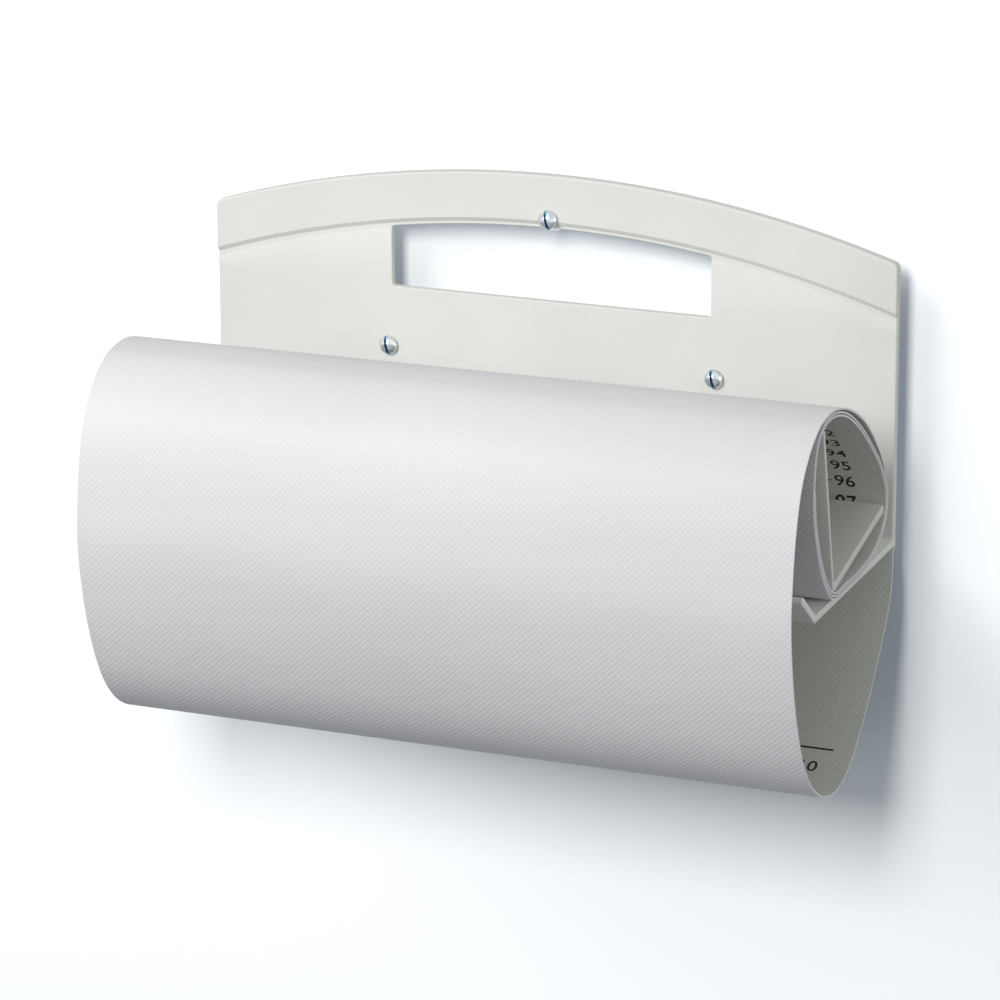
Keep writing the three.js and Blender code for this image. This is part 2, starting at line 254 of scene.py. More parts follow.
# Finishes: colours as on screen, lengths in metres. One with a pitch follows the mat's UV map.
plasticGrain = {"grain": 0.0006, "cloud": 0.07, "bump": 0.00005, "IOR": 1.49}
sheetGrain = {"grain": 0.0004, "cloud": 0.12, "bump": 0.0001, "pitch": 0.0025, "IOR": 1.5}
metalGrain = {"grain": 0.0004, "cloud": 0.002, "bump": 0.00001, "tones": (0.35, 0.65)}
finishes = {
    "platePlastic": {"dark": (229, 230, 225), "light": (235, 236, 231),
                     "roughness": (0.5, 0.6), **plasticGrain},
    "footPlastic": {"dark": (214, 215, 210), "light": (221, 222, 217),
                    "roughness": (0.46, 0.56), **plasticGrain},
    "outsideOfSheet": {"dark": (227, 228, 231), "light": (233, 234, 237),
                       "roughness": (0.5, 0.6), **sheetGrain},
    # the inner side is darker and greener than the outer side: painted shade for the inside of the
    # roll
    "insideOfSheet": {"dark": (222, 225, 217), "light": (228, 231, 223),
                      "roughness": (0.5, 0.6), **sheetGrain},
    "brightZinc": {"dark": (196, 203, 212), "light": (240, 243, 246),
                   "roughness": (0.16, 0.3), "Metallic": 1.0, **metalGrain},
    # the screws' slots: a dark teal as painted shade in the recess
    "slotMetal": {"dark": (48, 112, 142), "light": (76, 146, 176),
                  "roughness": (0.4, 0.6), "Metallic": 0.3, **metalGrain},
    "printBlack": {"dark": (22, 22, 24), "light": (40, 40, 42), "roughness": (0.4, 0.55),
                   "grain": 0.0003, "cloud": 0.01, "tonesFrom": "Height"},
}
noiseEnds = (0.3, 0.7)  # the part of the noise's range that counts
grainOnEmboss = 0.12


def makeFinish(name):
    look = finishes[name]
    material, tree, shader = newMaterial(name)
    if "pitch" in look:
        place = linked(tree, "ShaderNodeUVMap", uv_map="matUv")["UV"]
    else:
        place = linked(tree, "ShaderNodeTexCoord")["Object"]
    grain = linked(tree, "ShaderNodeGroup", {
        "Position": place, "Grain Size": look["grain"], "Cloud Size": look["cloud"]},
        node_tree=grainGroup)
    height = grain["Height"]
    clouds = grain[look.get("tonesFrom", "Cloud")]
    tones = spread(tree, clouds, look.get("tones", noiseEnds), (0, 1))
    colour = colourMix(tree, tones, linear(look["dark"]), linear(look["light"]))
    tree.links.new(colour, shader["Base Color"])
    tree.links.new(spread(tree, height, noiseEnds, look["roughness"]), shader["Roughness"])
    if "pitch" in look:
        emboss = linked(tree, "ShaderNodeGroup", {
            "Place": place, "Pitch Across": look["pitch"], "Pitch Along": look["pitch"]},
            node_tree=embossGroup)
        height = mathNode(tree, "MULTIPLY_ADD", height, grainOnEmboss, emboss["Height"])
    if "bump" in look:
        bump = linked(tree, "ShaderNodeBump", {"Distance": look["bump"], "Height": height})
        tree.links.new(bump["Normal"], shader["Normal"])
    for label in ("IOR", "Metallic"):
        if label in look:
            shader[label].default_value = look[label]
    return material


materials = {name: makeFinish(name) for name in finishes}
print("materials ready")


# Camera, from the photograph's perspective: right of the object and a little above
camera = {
    "yaw": 0.3769, "pitch": 0.3087, "roll": -0.00428, "distance": 2133.0, "lens": 185.34,
    "sensor": 36.0, "clip": (0.05, 50.0), "aim": (-22.11, 0.0, 0.89),
}


def placeCamera():
    yaw, pitch, roll = camera["yaw"], camera["pitch"], camera["roll"]
    ahead = Vector((-math.sin(yaw) * math.cos(pitch), math.cos(yaw) * math.cos(pitch),
                    -math.sin(pitch)))
    level = Vector((math.cos(yaw), math.sin(yaw), 0.0))
    above = level.cross(ahead)
    right = math.cos(roll) * level + math.sin(roll) * above
    up = -math.sin(roll) * level + math.cos(roll) * above
    spot = toFrame(*camera["aim"]) - camera["distance"] * mm * ahead
    data = bpy.data.cameras.new("photoCamera")
    data.sensor_width = camera["sensor"]
    data.sensor_fit = "HORIZONTAL"
    data.lens = camera["lens"]
    data.clip_start, data.clip_end = camera["clip"]
    obj = newObject("photoCamera", data)
    turn = Matrix((right, up, -ahead)).transposed().to_4x4()
    obj.matrix_world = Matrix.Translation(spot) @ turn
    scene.camera = obj


placeCamera()


# Measuring mat: crease behind the plate, big loop, then windings round the core
mat = {
    "width": 300.0, "thickness": 0.8, "turns": 2.86, "middleTurn": 2.5, "fitGap": 0.3,
    "windingGap": 0.4, "leftGap": 0.12, "looseFrom": 110.0, "tightFrom": 115.0, "tightOver": 60.0,
    "loopRoom": 26.1, "loopDrop": 77.3, "backLift": 2.3, "backLiftShares": (0.02, 0.36),
    "creaseNarrower": 2.6, "creaseReach": 32.0, "creaseSteps": 8,
    "columns": 12, "stepsPerTurn": 180, "joinStep": 3, "loopSteps": 15, "edgeBevel": 0.12,
    "tongueSideInset": 2.7, "tongueInset": 0.8, "tongueHoleMargin": 2.0,
    "coreShares": [
        (-0.053, 1), (0.191, 0.949), (0.466, 0.814), (0.725, 0.634), (0.924, 0.465), (1.037, 0.289),
        (0.995, 0.149), (0.802, 0.041), (0.527, 0), (0.252, 0), (0.023, 0.009), (-0.137, 0.135),
        (-0.267, 0.331), (-0.353, 0.552), (-0.359, 0.758), (-0.305, 0.92), (-0.209, 0.982)],
    "hangingShares": [
        (0.002, -0.02), (0.009, -0.055), (0.026, -0.125), (0.055, -0.229), (0.172, -0.516),
        (0.325, -0.8), (0.438, -0.944), (0.555, -1), (0.672, -0.96), (0.774, -0.854),
        (0.858, -0.686), (0.927, -0.433), (0.974, -0.136)],
    "risingShares": [
        (0.981, 0.124), (0.953, 0.349), (0.875, 0.59), (0.747, 0.775), (0.544, 0.905),
        (0.337, 0.976), (0.165, 0.996)],
}
plate = {
    "halfWidth": 148.0, "thickness": 3.0, "sideHeight": 117.8, "archRise": 23.5, "corner": 3.0,
    "bandHeight": 22.2, "bandProud": 1.1, "holeWidth": 139.0, "holeHeight": 30.9, "holeCorner": 1.6,
    "upperCorner": 1.0, "edgeRadius": 0.8, "holeEdge": 0.45, "cutEdge": 0.35,
    # distance outside the hand hole's upper arc, and depth behind the plate's front
    "grooveShape": [(-1.9, 0.0), (-1.1, 0.35), (1.2, 0.35), (2.2, -0.5), (3.1, -1.1)],
    "flangeDepth": 100.7, "flangeThickness": 3.0, "bendRadius": 1.2, "lipLength": 22.0,
    "lipAngle": math.radians(38.5),
    # the grid's columns and rows: shares of a radius, heights, and how many
    "edgeSteps": [0.0, 0.06, 0.22, 0.55, 1.0, 1.3], "cornerSteps": [0.4, 0.55, 0.7, 0.85, 1.0],
    "holeCornerSteps": [0.06, 0.2, 0.4, 0.7, 1.0], "overHole": 24, "beside": 18,
    "besideFrom": 1.5, "besideTo": 3.5, "levels": [0.0, 8.0, 30.0, 60.0, 84.0],
    "topRows": 6, "topReach": 16.0, "leastRow": 0.002,
}
foot = {
    "upright": 71.6, "sole": 66.2, "uprightThickness": 2.1, "soleThickness": 3.6,
    "tilt": math.radians(12.3), "cornerDepth": 84.5, "lift": 0.45, "endRadius": 0.9,
    "bendRadius": 2.2, "cutEdge": 0.35, "crownRoom": 0.99,
}
fastener = {
    "aboveBand": 3.9, "belowHole": 25.3, "aside": 71.2,
    "headDiameter": 7.8, "rim": 1.1, "dome": 2.3, "ease": 0.1, "shankDiameter": 3.0,
    "shankLength": 4.0, "slotWidth": 1.15, "slotDepth": 2.0, "slotLean": math.radians(13),
    "slotEdge": 0.06, "slotSlack": 0.02, "underSlot": 0.5,
    "sleeveDiameter": 5.2, "sleeveLength": 4.1, "sleeveEase": 0.15, "postHead": 12.0,
    "postThickness": 1.2, "postChamfer": 0.3, "gap": 0.3, "wallFace": 5.6,
}
plateHeight = plate["sideHeight"] + plate["archRise"]
archRadius = (plate["halfWidth"] ** 2 + plate["archRise"] ** 2) / (2 * plate["archRise"])
archCentre = plateHeight - archRadius
bandRadius = archRadius - plate["bandHeight"]
bandFoot = plateHeight - plate["bandHeight"]
holeSill = bandFoot - plate["holeHeight"]
creaseRadius = mat["fitGap"] + mat["thickness"] / 2
sleeveHole = fastener["sleeveDiameter"] / 2 + mat["fitGap"]
screwPlaces = [(0.0, bandFoot + fastener["aboveBand"], plate["bandProud"])]
screwPlaces += [(x, holeSill - fastener["belowHole"], 0.0)
                for x in (-fastener["aside"], fastener["aside"])]


def splineAt(points, closed, share):  # a centripetal curve through points
    count = len(points)
    place = (count if closed else count - 1) * share
    first = math.floor(place)
    along = place - first

    def point(i):  # an open curve is mirrored past its ends
        if closed or 0 <= i < count:
            return points[i % count]
        end, inner = (points[0], points[1]) if i < 0 else (points[-1], points[-2])
        return tuple(2 * a - b for a, b in zip(end, inner))
    four = [point(first + k) for k in (-1, 0, 1, 2)]
    g0, g1, g2 = [math.dist(a, b) ** 0.5 for a, b in zip(four, four[1:])]
    result = []
    for a, b, c, d in zip(*four):
        start = ((b - a) / g0 - (c - a) / (g0 + g1) + (c - b) / g1) * g1
        end = ((c - b) / g1 - (d - b) / (g1 + g2) + (d - c) / g2) * g1
        result.append(b + start * along + (-3 * b + 3 * c - 2 * start - end) * along ** 2
                      + (2 * b - 2 * c + start + end) * along ** 3)
    return tuple(result)


def spacedRound(points, count, samples=4000):  # points at equal distances round a closed curve
    fine = [splineAt(points, True, i / samples) for i in range(samples)]
    fine.append(fine[0])
    lengths = lengthsAlong(fine)
    result = []
    j = 0
    for i in range(count):
        target = lengths[-1] * i / count
        while lengths[j + 1] < target:
            j += 1
        part = (target - lengths[j]) / (lengths[j + 1] - lengths[j])
        result.append(tuple(a + (b - a) * part for a, b in zip(fine[j], fine[j + 1])))
    return result


def lengthsAlong(points):
    lengths = [0.0]
    for a, b in zip(points, points[1:]):
        lengths.append(lengths[-1] + math.dist(a, b))
    return lengths


def windings(gap, lift):  # the mat's middle line round the core, before it is set on the flange
    cos, sin = math.cos(foot["tilt"]), math.sin(foot["tilt"])
    reach = foot["sole"] * cos
    height = (foot["lift"] + (foot["upright"] * cos + foot["uprightThickness"] * sin)
              + foot["crownRoom"])
    guide = [(depth * reach - foot["cornerDepth"], up * height) for depth, up in mat["coreShares"]]
    steps = mat["stepsPerTurn"]
    ring = spacedRound(guide, steps)
    start, end = mat["backLiftShares"]
    result = []
    for i in range(round(mat["turns"] * steps) + 1):
        before, here, after = [ring[(i + k) % steps] for k in (-1, 0, 1)]
        length = math.dist(before, after)
        along = [(b - a) / length for a, b in zip(before, after)]
        turn = i / steps
        lifted = clamped((turn - start) / (end - start))
        offset = (mat["thickness"] / 2 + (mat["middleTurn"] - turn) * (mat["thickness"] + gap)
                  + lift * math.sin(math.pi * lifted) ** 2)
        result.append((here[0] - along[1] * offset, here[1] + along[0] * offset))
    return result


def matPath(gap, lift):
    loose = windings(gap, lift)
    base = (plate["flangeThickness"] + mat["fitGap"] + mat["thickness"] / 2
            - min(z for _, z in loose))
    roll = [(y, z + base) for y, z in loose]
    top = max(z for _, z in roll)
    reach = max(-y for y, _ in roll) + mat["loopRoom"]
    crease = arc((plate["thickness"], 0), creaseRadius, 0, -math.pi / 2, mat["creaseSteps"])
    hanging = [(-depth * reach, up * mat["loopDrop"]) for depth, up in mat["hangingShares"]]
    rising = [(roll[0][0] - depth * (reach + roll[0][0]), up * top)
              for depth, up in mat["risingShares"]]
    guide = [crease[-1], *hanging, *rising, roll[0], roll[mat["joinStep"]]]
    spans = len(guide) - 1
    steps = mat["loopSteps"]
    loop = [splineAt(guide, False, (span + step / steps) / spans)
            for span in range(spans - 1) for step in range(steps)]
    return [*crease[:-1], *loop, *roll], base


path, coreBase = matPath(mat["windingGap"], mat["backLift"])
leftPath, _ = matPath(mat["leftGap"], 0.0)
pathLengths = lengthsAlong(path)
pathPoints = [toFrame(0, y, z) for y, z in path]
print(f"mat below the plate {pathLengths[-1]:.1f} mm")


def onPath(length):  # point and direction on the mat's middle line at a length below the crease
    low = min(bisect.bisect_right(pathLengths, length) - 1, len(path) - 2)
    (ay, az), (by, bz) = path[low], path[low + 1]
    span = pathLengths[low + 1] - pathLengths[low]
    part = (length - pathLengths[low]) / span
    return ay + (by - ay) * part, az + (bz - az) * part, (by - ay) / span, (bz - az) / span


def archedTop(half, radius, corner, long, short):  # from right to left round the arch
    height = archCentre + math.sqrt((radius - corner) ** 2 - (half - corner) ** 2)
    lean = math.atan2(height - archCentre, half - corner)
    return [*arc((half - corner, height), corner, 0, lean, curveSteps[short]),
            *arc((0, archCentre), radius, lean, math.pi - lean, curveSteps[long])[1:-1],
            *arc((corner - half, height), corner, math.pi - lean, math.pi, curveSteps[short])]


def holeOutline(margin):  # round the hand hole, from its lower right corner
    half = plate["holeWidth"] / 2 + margin
    corner = plate["holeCorner"] + margin
    low = holeSill - margin + corner
    return [*arc((half - corner, low), corner, -math.pi / 2, 0, curveSteps["corner"]),
            *archedTop(half, bandRadius + margin, corner, "holeArch", "corner"),
            *arc((corner - half, low), corner, math.pi, 1.5 * math.pi, curveSteps["corner"])]


def notchedHole(margin, place, radius):  # the top post's hole opens into the hand hole's upper edge
    outline = holeOutline(margin)
    x0, z0, _ = place
    inside = [i for i, (x, z) in enumerate(outline) if math.hypot(x - x0, z - z0) <= radius]
    before, after = outline[:inside[0]], outline[inside[-1] + 1:]
    start, end = [math.atan2(z - z0, x - x0) for x, z in (before[-1], after[0])]
    if end < start:
        end += 2 * math.pi
    return before + arc((x0, z0), radius, start, end, curveSteps["notch"])[1:-1] + after


def flatPanel(bm, loops, depth):  # fills an outline with holes, upright at one depth
    edges = []
    for loop in loops:
        verts = [bm.verts.new(toFrame(x, depth, z)) for x, z in loop]
        edges += [bm.edges.new((a, b)) for a, b in zip(verts, verts[1:] + verts[:1])]
    bmesh.ops.triangle_fill(bm, edges=edges, use_beauty=True, normal=(0, -1, 0))


def lineObject(name, points):
    mesh = bpy.data.meshes.new(name)
    mesh.from_pydata(points, [(i, i + 1) for i in range(len(points) - 1)], [])
    return newObject(name, mesh)


def grown(name, points, tree, values):  # a Geometry Nodes tree run on a line through the points
    obj = lineObject(name, points)
    step = obj.modifiers.new("grown", "NODES")
    step.node_group = tree
    for item in tree.interface.items_tree:
        if item.in_out == "INPUT" and item.name in values:
            step[item.identifier] = values[item.name]
    return bakeModifiers(obj)


def newTree(name, inputs):
    return newGroup(name, [("Geometry", "Geometry"), *inputs], [("Geometry", "Geometry")],
                    "GeometryNodeTree")


def finished(group, geometry, material):  # real mesh with its material, as the export needs
    real = linked(group, "GeometryNodeRealizeInstances", {"Geometry": geometry})
    return linked(group, "GeometryNodeSetMaterial", {
        "Geometry": real["Geometry"], "Material": material})["Geometry"]


def ribbonTree():  # sweeps a line across along the path and keeps the length for the UV map
    group, given, result = newTree("ribbonAlongPath", [
        ("Across", "Object"), ("Material", "Material")])
    rail = linked(group, "GeometryNodeMeshToCurve", {"Mesh": given["Geometry"]})
    along = linked(group, "GeometryNodeSplineParameter")
    keep = group.nodes.new("GeometryNodeCaptureAttribute")
    keep.capture_items.new("FLOAT", "Length")
    group.links.new(rail["Curve"], keep.inputs[0])
    group.links.new(along["Length"], keep.inputs[1])
    across = linked(group, "GeometryNodeObjectInfo", {"Object": given["Across"]},
                    transform_space="ORIGINAL")
    profile = linked(group, "GeometryNodeMeshToCurve", {"Mesh": across["Geometry"]})
    swept = linked(group, "GeometryNodeCurveToMesh", {
        "Curve": keep.outputs[0], "Profile Curve": profile["Curve"]})
    named = linked(group, "GeometryNodeStoreNamedAttribute", {
        "Geometry": swept["Mesh"], "Name": "lengthBelow", "Value": keep.outputs[1]},
        data_type="FLOAT", domain="POINT")
    group.links.new(finished(group, named["Geometry"], given["Material"]), result["Geometry"])
    return group


def tightenLeft(vert, length):  # the roll is wound tighter towards its left end
    aside = clamped((mat["looseFrom"] - vert.co.x / mm) / (mat["looseFrom"] + mat["width"] / 2))
    after = clamped((length - mat["tightFrom"]) / mat["tightOver"])
    step = min(bisect.bisect_left(pathLengths, length - touch), len(path) - 1)
    for axis, (here, there) in enumerate(zip(path[step], leftPath[step]), 1):
        vert.co[axis] += (there - here) * mm * aside * after


def makeMat():
    half = mat["width"] / 2
    tongueHalf = half - mat["tongueSideInset"]
    count = mat["columns"]
    tongue = [-tongueHalf, *[tongueHalf * k / count for k in range(1 - count, count)], tongueHalf]
    across = lineObject("acrossMat", [(x * mm, 0, 0) for x in (-half, *tongue, half)])
    bm = meshOf(grown("matRibbon", pathPoints, ribbonTree(), {
        "Across": across, "Material": materials["outsideOfSheet"]}))
    bpy.data.objects.remove(across)
    lengthLayer = bm.verts.layers.float["lengthBelow"]
    for vert in bm.verts:  # the sheet leaves the crease at the tongue's width and widens below
        part = max(1 - vert[lengthLayer] / (mat["creaseReach"] * mm), 0)
        if abs(vert.co.x) > (tongueHalf + touch) * mm:
            vert.co.x -= math.copysign(mat["creaseNarrower"] * mm * part ** 2, vert.co.x)
        tightenLeft(vert, vert[lengthLayer] / mm)
    arch = archedTop(tongueHalf, archRadius - mat["tongueInset"], plate["corner"],
                     "tongueArch", "tongueCorner")
    holes = [notchedHole(mat["tongueHoleMargin"], screwPlaces[0], sleeveHole)]
    holes += [circle((x, z), sleeveHole, curveSteps["tongueHole"]) for x, z, _ in screwPlaces[1:]]
    flatPanel(bm, [[*[(x, 0.0) for x in tongue], *arch], *holes], plate["thickness"] + creaseRadius)
    bmesh.ops.remove_doubles(bm, verts=bm.verts, dist=touch * mm)
    uv = bm.loops.layers.uv.new("matUv")
    for face in bm.faces:
        for loop in face.loops:
            spot = loop.vert.co
            length = loop.vert[lengthLayer] or -(spot.z + origin["height"] * mm)
            loop[uv].uv = (spot.x + half * mm, length)
    obj = objectFrom("measuringMat", bm)
    setMaterials(obj, "outsideOfSheet", "insideOfSheet")
    wall = obj.modifiers.new("sheetThickness", "SOLIDIFY")
    wall.thickness = mat["thickness"] * mm
    wall.offset = 0
    wall.material_offset = 1
    wall.use_even_offset = True
    addBevel(obj, mat["edgeBevel"], segments=1, degrees=60)
    obj = bakeModifiers(obj)
    smoothByAngle(obj, degrees=40)
    return obj


matObject = makeMat()


# Printed scale on the mat's inner face: a number and a tick for each centimetre
scaleLook = {
    "first": 10, "last": 109, "zero": 2.0, "spacing": 10.0, "endMargin": 4.0, "numberX": 133.2,
    "numberHeight": 6.1, "heightOfSize": 0.72, "widening": 1.06, "bolder": 0.08,
    "tickLength": 3.4, "tickWidth": 0.45, "tickX": 126.2,
    "startLine": 92.0, "startLineEnd": 141.6, "startLineWidth": 0.85,
    "ink": 0.04, "sink": 0.02,
}


def lengthAt(number):
    return number * scaleLook["spacing"] + scaleLook["zero"]


numbers = [number for number in range(scaleLook["first"], scaleLook["last"] + 1)
           if lengthAt(number) + scaleLook["endMargin"] <= pathLengths[-1]]


def onInnerFace(x, length, lift):  # the side that looks to the middle of the roll
    y, z, alongY, alongZ = onPath(length)
    off = mat["thickness"] / 2 + lift
    return toFrame(x, y + alongZ * off, z - alongY * off)


def printInto(bm, part):  # wraps a flat shape, with x across and y down the length, on the mat
    heights = [v.co.y for v in part.verts]
    for cut in range(math.ceil(min(heights)), math.ceil(max(heights))):
        bmesh.ops.bisect_plane(part, geom=part.verts[:] + part.edges[:] + part.faces[:],
                               plane_co=(0, cut, 0), plane_no=(0, 1, 0))
    for v in part.verts:
        v.co = onInnerFace(*v.co)
    holder = bpy.data.meshes.new("holder")
    part.to_mesh(holder)
    part.free()
    bm.from_mesh(holder)
    bpy.data.meshes.remove(holder)


def numberShape(number):
    curve = bpy.data.curves.new("number", "FONT")
    curve.body = str(number)
    curve.size = scaleLook["numberHeight"] / scaleLook["heightOfSize"]
    curve.align_x = curve.align_y = "CENTER"
    curve.extrude = (scaleLook["ink"] + scaleLook["sink"]) / 2
    curve.offset = scaleLook["bolder"]
    curve.resolution_u = curveSteps["digit"]
    part = meshOf(bakeModifiers(newObject("number", curve)))
    bpy.data.curves.remove(curve)
    for v in part.verts:
        v.co = Vector((scaleLook["numberX"] + v.co.x * scaleLook["widening"],
                       lengthAt(number) - v.co.y,
                       v.co.z + (scaleLook["ink"] - scaleLook["sink"]) / 2))
    bmesh.ops.reverse_faces(part, faces=part.faces)
    return part


def ticksTree():  # small boxes at equal lengths along the path, on the mat's inner face
    group, given, result = newTree("ticksAlongPath", [
        ("Count", "Int", 10), ("First", "Float", 0.1), ("Spacing", "Float", 0.01),
        ("Size", "Vector"), ("Place", "Vector"), ("Material", "Material")])
    rail = linked(group, "GeometryNodeMeshToCurve", {"Mesh": given["Geometry"]})
    spots = linked(group, "GeometryNodePoints", {"Count": given["Count"]})
    index = linked(group, "GeometryNodeInputIndex")[0]
    sample = linked(group, "GeometryNodeSampleCurve", {
        "Curves": rail["Curve"],
        "Length": mathNode(group, "MULTIPLY_ADD", index, given["Spacing"], given["First"])},
        mode="LENGTH", use_all_curves=True)
    placed = linked(group, "GeometryNodeSetPosition", {
        "Geometry": spots[0], "Position": sample["Position"]})
    turn = linked(group, "FunctionNodeAlignRotationToVector", {"Vector": sample["Tangent"]},
                  axis="Y", pivot_axis="X")
    box = linked(group, "GeometryNodeMeshCube", {"Size": given["Size"]})
    many = linked(group, "GeometryNodeInstanceOnPoints", {
        "Points": placed["Geometry"], "Instance": box["Mesh"], "Rotation": turn["Rotation"]})
    moved = linked(group, "GeometryNodeTranslateInstances", {
        "Instances": many["Instances"], "Translation": given["Place"]})
    group.links.new(finished(group, moved["Instances"], given["Material"]), result["Geometry"])
    return group


def makeTicks():
    ink, sink = scaleLook["ink"], scaleLook["sink"]
    return grown("scaleTicks", pathPoints, ticksTree(), {
        "Count": len(numbers), "First": lengthAt(scaleLook["first"]) * mm,
        "Spacing": scaleLook["spacing"] * mm,
        "Size": (scaleLook["tickLength"] * mm, scaleLook["tickWidth"] * mm, (ink + sink) * mm),
        "Place": (scaleLook["tickX"] * mm, 0.0, -(mat["thickness"] + ink - sink) / 2 * mm),
        "Material": materials["printBlack"]})


def makeScale():
    bm = meshOf(makeTicks())
    for number in numbers:
        printInto(bm, numberShape(number))
    line = bmesh.new()
    end, middle = scaleLook["startLineEnd"], scaleLook["startLine"]
    half = scaleLook["startLineWidth"] / 2
    boxInto(line, (-end, middle - half, -scaleLook["sink"]), (end, middle + half, scaleLook["ink"]))
    printInto(bm, line)
    obj = objectFrom("printedScale", bm)
    setMaterials(obj, "printBlack")
    return obj


scaleObject = makeScale()
print("scale ready", len(numbers), "numbers")


# Foot piece
def makeFoot():
    end, bend = foot["endRadius"], foot["bendRadius"]
    sole, upright = foot["sole"], foot["upright"]
    under, behind = foot["soleThickness"], foot["uprightThickness"]
    quarter = math.pi / 2
    profile = []
    for centre, radius, start, finish in (
            ((end, end), end, 2, 3), ((sole - end, end), end, -1, 0),
            ((sole - end, under - end), end, 0, 1), ((behind + bend, under + bend), bend, 3, 2),
            ((behind - end, upright - end), end, 0, 1), ((end, upright - end), end, 1, 2)):
        profile += arc(centre, radius, start * quarter, finish * quarter, curveSteps["corner"])
    cos, sin = math.cos(foot["tilt"]), math.sin(foot["tilt"])
    placed = [(y * cos - z * sin - foot["cornerDepth"], y * sin + z * cos + coreBase + foot["lift"])
              for y, z in profile]
    obj = drawnOut("footPiece", placed, (-mat["width"] / 2, mat["width"] / 2))
    addBevel(obj, foot["cutEdge"], segments=2, degrees=60)
    obj = bakeModifiers(obj)
    smoothByAngle(obj, degrees=35)
    setMaterials(obj, "footPlastic")
    return obj


footObject = makeFoot()
print("foot piece ready")


# Head plate: one grid of columns and rows for the upright plate, then the bent flange and lip
cornerAside = plate["halfWidth"] - plate["corner"]
cornerHeight = archCentre + math.sqrt((archRadius - plate["corner"]) ** 2 - cornerAside ** 2)


def cornerDrop(distance, radius):  # how far a rounded edge falls back at a distance from it
    if distance >= radius:
        return 0.0
    return radius - math.sqrt(radius ** 2 - (radius - max(distance, 0.0)) ** 2)


def topOfPlate(x):
    if abs(x) <= cornerAside:
        return archCentre + math.sqrt(archRadius ** 2 - x ** 2)
    return cornerHeight + math.sqrt(max(plate["corner"] ** 2 - (abs(x) - cornerAside) ** 2, 0.0))


def edgeDistance(x, z):  # from the plate's sides and arched top
    if abs(x) > cornerAside and z > cornerHeight:
        return plate["corner"] - math.hypot(abs(x) - cornerAside, z - cornerHeight)
    return min(plate["halfWidth"] - abs(x), archRadius - math.hypot(x, z - archCentre))


def holeEdge(x, above):  # height of the hand hole's lower or upper edge, with its rounded corners
    corner = plate["upperCorner"] if above else plate["holeCorner"]
    past = abs(x) - (plate["holeWidth"] / 2 - corner)
    lift = cornerDrop(corner - past, corner) if past > 0 else 0.0
    if above:
        return archCentre + math.sqrt(bandRadius ** 2 - x ** 2) - lift
    return holeSill + lift


def grooveDepth(x, z):  # depth of the front along the groove and the band
    shape = plate["grooveShape"]
    offset = math.hypot(x, z - archCentre) - bandRadius
    offset = min(max(offset, shape[0][0]), shape[-1][0])
    for (a, low), (b, high) in zip(shape, shape[1:]):
        if offset <= b:
            return low + (high - low) * (offset - a) / (b - a)


def plateColumns():
    half, side = plate["halfWidth"], plate["holeWidth"] / 2
    places = {half - plate["edgeRadius"] * step for step in plate["edgeSteps"]}
    places |= {half - plate["corner"] * step for step in plate["cornerSteps"]}
    places |= {side + plate["holeEdge"] * step for step in plate["edgeSteps"]}
    places |= {side - plate["holeCorner"] * step for step in plate["holeCornerSteps"]}
    over, beside = plate["overHole"], plate["beside"]
    places |= {side * i / over for i in range(over)}
    near = side + plate["besideFrom"]
    width = half - plate["besideTo"] - near
    places |= {near + width * i / beside for i in range(beside + 1)}
    right = sorted(places)
    return [-x for x in reversed(right) if x > 0] + right


def plateRows():  # from the foot up: what each row follows, and how far off
    steps, rim = plate["edgeSteps"], plate["holeEdge"]
    offsets = [offset for offset, _ in plate["grooveShape"]]
    count = plate["topRows"]
    return ([("level", z) for z in plate["levels"]]
            + [("sill", rim * step) for step in reversed(steps)]
            + [("under", offset) for offset in offsets if offset < 0]
            + [("crown", rim * step) for step in steps]
            + [("crown", offset) for offset in offsets if offset > steps[-1] * rim]
            + [("top", (1 - i / count) * plate["topReach"]) for i in range(count)]
            + [("top", plate["edgeRadius"] * step) for step in reversed(steps)])


